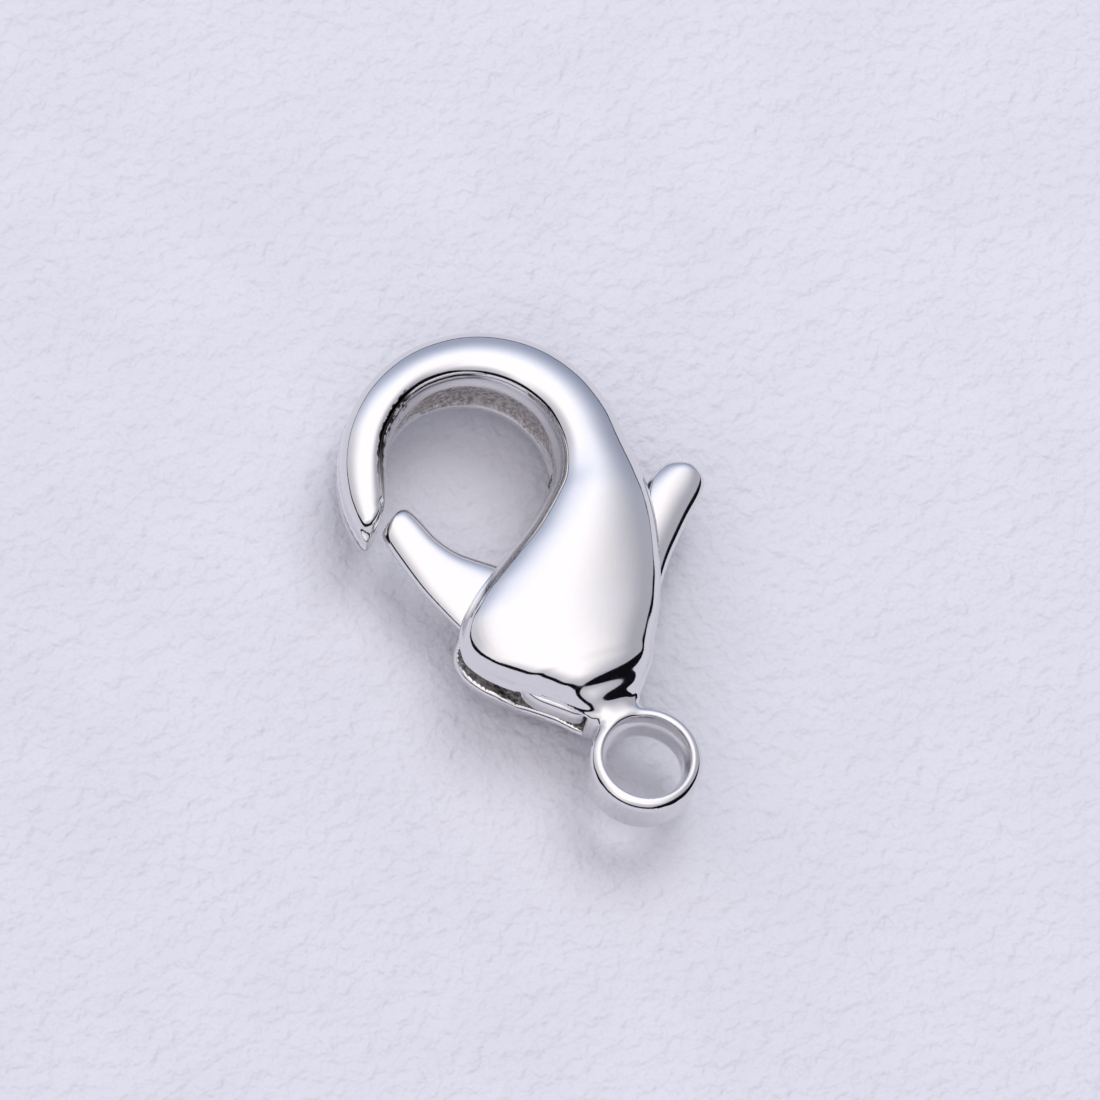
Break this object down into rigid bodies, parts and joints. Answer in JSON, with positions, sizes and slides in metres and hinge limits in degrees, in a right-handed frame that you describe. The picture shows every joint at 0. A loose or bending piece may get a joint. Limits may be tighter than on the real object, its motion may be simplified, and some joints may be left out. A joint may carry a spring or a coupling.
{
  "type": "lobster clasp",
  "caption": "Lobster clasp lying flat: a cast hook body with an end ring, and a sprung lever whose gate closes the hook's eye.",
  "frame": {"origin": "centre of the end ring's hole, on the clasp's middle plane", "axes": "+Y along the clasp from the end ring to the hook, +Z out of the clasp's face along the end ring's bore, gate on the -X side and thumb tab on the +X side"},
  "size_m": [0.0076, 0.012, 0.0028],
  "materials": {
    "body_metal": "polished",
    "lever_metal": "polished",
    "rivet_metal": "satin"
  },
  "bodies": {
    "clasp": {"body": "body_metal", "rivet": "rivet_metal"},
    "lever": {"lever": "lever_metal"}
  },
  "joints": [
    {"name": "lever_hinge", "type": "hinge", "parent": "clasp", "child": "lever", "pos_m": [0.00005, 0.0026, 0], "axis": [0, 0, -1], "range_deg": [0, 26], "stiffness_Nm_per_rad": 0.01, "springref_deg": -22.92}
  ]
}
